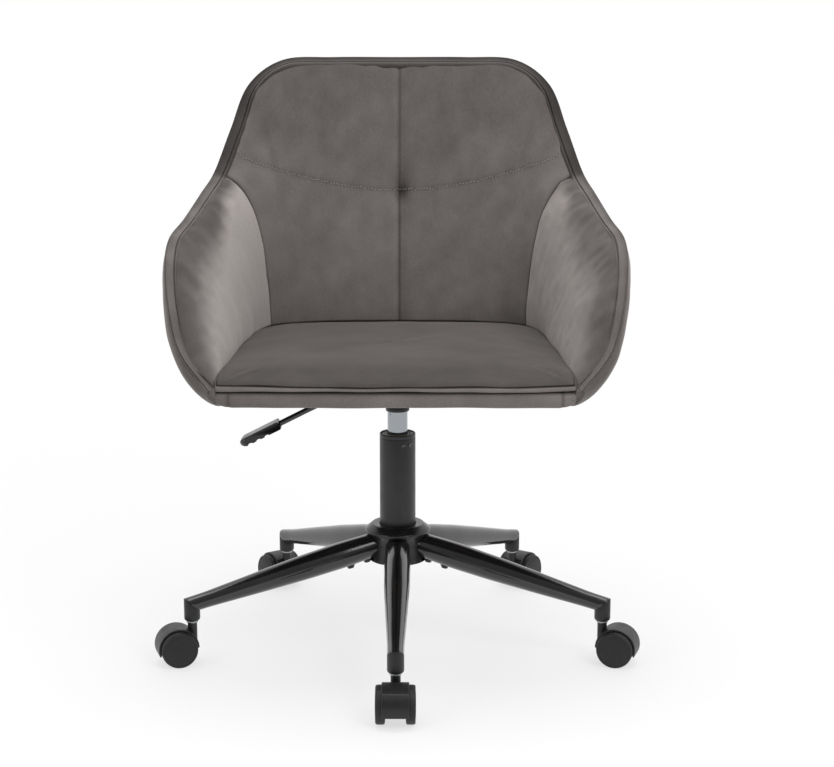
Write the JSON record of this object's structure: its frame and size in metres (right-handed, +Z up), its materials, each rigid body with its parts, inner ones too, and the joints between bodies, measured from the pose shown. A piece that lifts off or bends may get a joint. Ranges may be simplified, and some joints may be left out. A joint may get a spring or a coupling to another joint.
{
  "type": "swivel office chair",
  "caption": "Velvet tub swivel office chair with wrap-around arms, a gas column with side lever and a black five-leg base on twin-wheel casters",
  "frame": {"origin": "on the floor, under the column's swivel axis", "axes": "+Z up along the column, -Y out of the front of the seat, +X to the right of somebody looking at the front"},
  "size_m": [0.6686, 0.6847, 0.8083],
  "materials": {
    "velvet_grey": "matte",
    "plywood": "matte",
    "felt_black": "matte",
    "enamel_black": "gloss",
    "nylon_black": "satin",
    "wheel_black": "matte",
    "nylon_natural": "satin",
    "steel_dark": "satin",
    "chrome": "polished",
    "steel_bright": "satin"
  },
  "bodies": {
    "base": {"base_hub": "nylon_black", "column_tube": "steel_dark", "guide_bush": "nylon_natural", "thrust_bearing": "steel_bright", "leg_1": "enamel_black", "leg_2": "enamel_black", "leg_3": "enamel_black", "leg_4": "enamel_black", "leg_5": "enamel_black", "leg_socket_1": "nylon_black", "leg_socket_2": "nylon_black", "leg_socket_3": "nylon_black", "leg_socket_4": "nylon_black", "leg_socket_5": "nylon_black"},
    "rotor": {"piston_rod": "steel_bright"},
    "seat": {"gas_cylinder": "chrome", "seat_mechanism": "steel_dark", "pivot_pin": "steel_bright", "seat_bolt_1": "steel_bright", "seat_bolt_2": "steel_bright", "seat_bolt_3": "steel_bright", "seat_bolt_4": "steel_bright", "seat_board": "plywood", "shell_frame": "plywood", "dust_cover": "felt_black", "seat_cushion": "velvet_grey", "front_rail": "velvet_grey", "outer_cover": "velvet_grey", "edge_band": "velvet_grey", "back_cushion": "velvet_grey", "arm_pad_right": "velvet_grey", "arm_pad_left": "velvet_grey"},
    "lever": {"lever_rod": "steel_dark", "lever_paddle": "nylon_black"},
    "button": {"valve_button": "steel_bright"},
    "caster_1": {"caster_1_stem": "steel_bright", "caster_1_hood": "nylon_black", "caster_1_axle": "steel_bright"},
    "wheel_1_left": {"caster_1_wheel_left": "wheel_black"},
    "wheel_1_right": {"caster_1_wheel_right": "wheel_black"},
    "caster_2": {"caster_2_stem": "steel_bright", "caster_2_hood": "nylon_black", "caster_2_axle": "steel_bright"},
    "wheel_2_left": {"caster_2_wheel_left": "wheel_black"},
    "wheel_2_right": {"caster_2_wheel_right": "wheel_black"},
    "caster_3": {"caster_3_stem": "steel_bright", "caster_3_hood": "nylon_black", "caster_3_axle": "steel_bright"},
    "wheel_3_left": {"caster_3_wheel_left": "wheel_black"},
    "wheel_3_right": {"caster_3_wheel_right": "wheel_black"},
    "caster_4": {"caster_4_stem": "steel_bright", "caster_4_hood": "nylon_black", "caster_4_axle": "steel_bright"},
    "wheel_4_left": {"caster_4_wheel_left": "wheel_black"},
    "wheel_4_right": {"caster_4_wheel_right": "wheel_black"},
    "caster_5": {"caster_5_stem": "steel_bright", "caster_5_hood": "nylon_black", "caster_5_axle": "steel_bright"},
    "wheel_5_left": {"caster_5_wheel_left": "wheel_black"},
    "wheel_5_right": {"caster_5_wheel_right": "wheel_black"}
  },
  "joints": [
    {"name": "seat_swivel", "type": "hinge", "parent": "base", "child": "rotor", "pos_m": [0, 0, 0.11], "axis": [0, 0, 1], "continuous": true},
    {"name": "gas_lift", "type": "slide", "parent": "rotor", "child": "seat", "axis": [0, 0, 1], "range_m": [0, 0.08]},
    {"name": "lever_lift", "type": "hinge", "parent": "seat", "child": "lever", "pos_m": [-0.028, 0, 0.3883], "axis": [0, 1, 0], "range_deg": [0, 6], "stiffness_Nm_per_rad": 2},
    {"name": "button_press", "type": "slide", "parent": "seat", "child": "button", "axis": [0, 0, -1], "range_m": [0, 0.003]},
    {"name": "caster_1_swivel", "type": "hinge", "parent": "base", "child": "caster_1", "pos_m": [0, -0.296, 0.066], "axis": [0, 0, 1], "continuous": true},
    {"name": "wheel_1_left_roll", "type": "hinge", "parent": "caster_1", "child": "wheel_1_left", "pos_m": [0.0195, -0.318, 0.025], "axis": [1, 0, 0], "continuous": true},
    {"name": "wheel_1_right_roll", "type": "hinge", "parent": "caster_1", "child": "wheel_1_right", "pos_m": [-0.0195, -0.318, 0.025], "axis": [1, 0, 0], "continuous": true},
    {"name": "caster_2_swivel", "type": "hinge", "parent": "base", "child": "caster_2", "pos_m": [0.28151, -0.09147, 0.066], "axis": [0, 0, 1], "continuous": true},
    {"name": "wheel_2_left_roll", "type": "hinge", "parent": "caster_2", "child": "wheel_2_left", "pos_m": [0.30846, -0.07972, 0.025], "axis": [0.309, 0.9511, 0], "continuous": true},
    {"name": "wheel_2_right_roll", "type": "hinge", "parent": "caster_2", "child": "wheel_2_right", "pos_m": [0.29641, -0.11681, 0.025], "axis": [0.309, 0.9511, 0], "continuous": true},
    {"name": "caster_3_swivel", "type": "hinge", "parent": "base", "child": "caster_3", "pos_m": [0.17398, 0.23947, 0.066], "axis": [0, 0, 1], "continuous": true},
    {"name": "wheel_3_left_roll", "type": "hinge", "parent": "caster_3", "child": "wheel_3_left", "pos_m": [0.17114, 0.26873, 0.025], "axis": [-0.809, 0.5878, 0], "continuous": true},
    {"name": "wheel_3_right_roll", "type": "hinge", "parent": "caster_3", "child": "wheel_3_right", "pos_m": [0.20269, 0.24581, 0.025], "axis": [-0.809, 0.5878, 0], "continuous": true},
    {"name": "caster_4_swivel", "type": "hinge", "parent": "base", "child": "caster_4", "pos_m": [-0.17398, 0.23947, 0.066], "axis": [0, 0, 1], "continuous": true},
    {"name": "wheel_4_left_roll", "type": "hinge", "parent": "caster_4", "child": "wheel_4_left", "pos_m": [-0.20269, 0.24581, 0.025], "axis": [-0.809, -0.5878, 0], "continuous": true},
    {"name": "wheel_4_right_roll", "type": "hinge", "parent": "caster_4", "child": "wheel_4_right", "pos_m": [-0.17114, 0.26873, 0.025], "axis": [-0.809, -0.5878, 0], "continuous": true},
    {"name": "caster_5_swivel", "type": "hinge", "parent": "base", "child": "caster_5", "pos_m": [-0.28151, -0.09147, 0.066], "axis": [0, 0, 1], "continuous": true},
    {"name": "wheel_5_left_roll", "type": "hinge", "parent": "caster_5", "child": "wheel_5_left", "pos_m": [-0.29641, -0.11681, 0.025], "axis": [0.309, -0.9511, 0], "continuous": true},
    {"name": "wheel_5_right_roll", "type": "hinge", "parent": "caster_5", "child": "wheel_5_right", "pos_m": [-0.30846, -0.07972, 0.025], "axis": [0.309, -0.9511, 0], "continuous": true}
  ],
  "couplings": [
    {"joint": "button_press", "follows": "lever_lift", "m_per_rad": 0.028}
  ]
}
